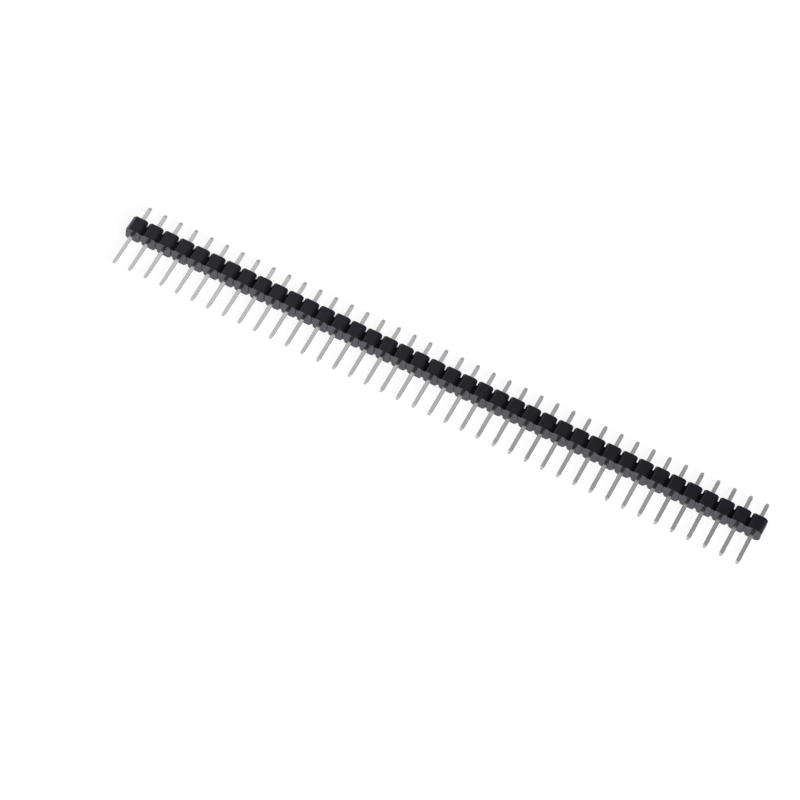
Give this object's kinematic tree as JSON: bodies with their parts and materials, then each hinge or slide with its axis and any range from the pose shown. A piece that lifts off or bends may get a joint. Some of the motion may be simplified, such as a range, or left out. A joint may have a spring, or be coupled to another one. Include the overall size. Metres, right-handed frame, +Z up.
{
  "type": "pin header strip",
  "caption": "Single-row breakaway pin header: square plated pins pressed through a grooved black plastic bar, for soldering to a board.",
  "frame": {"origin": "on the surface the strip lies on, under the middle of the row and halfway along the pins", "axes": "+X along the row of pins, +Y the way the short board ends point, +Z up from the side the strip lies on"},
  "size_m": [0.1014, 0.0114, 0.0025],
  "materials": {
    "housing": "satin",
    "pins": "satin"
  },
  "bodies": {
    "root": {"housing": "housing", "pin_01": "pins", "pin_02": "pins", "pin_03": "pins", "pin_04": "pins", "pin_05": "pins", "pin_06": "pins", "pin_07": "pins", "pin_08": "pins", "pin_09": "pins", "pin_10": "pins", "pin_11": "pins", "pin_12": "pins", "pin_13": "pins", "pin_14": "pins", "pin_15": "pins", "pin_16": "pins", "pin_17": "pins", "pin_18": "pins", "pin_19": "pins", "pin_20": "pins", "pin_21": "pins", "pin_22": "pins", "pin_23": "pins", "pin_24": "pins", "pin_25": "pins", "pin_26": "pins", "pin_27": "pins", "pin_28": "pins", "pin_29": "pins", "pin_30": "pins", "pin_31": "pins", "pin_32": "pins", "pin_33": "pins", "pin_34": "pins", "pin_35": "pins", "pin_36": "pins", "pin_37": "pins", "pin_38": "pins", "pin_39": "pins", "pin_40": "pins"}
  },
  "joints": []
}
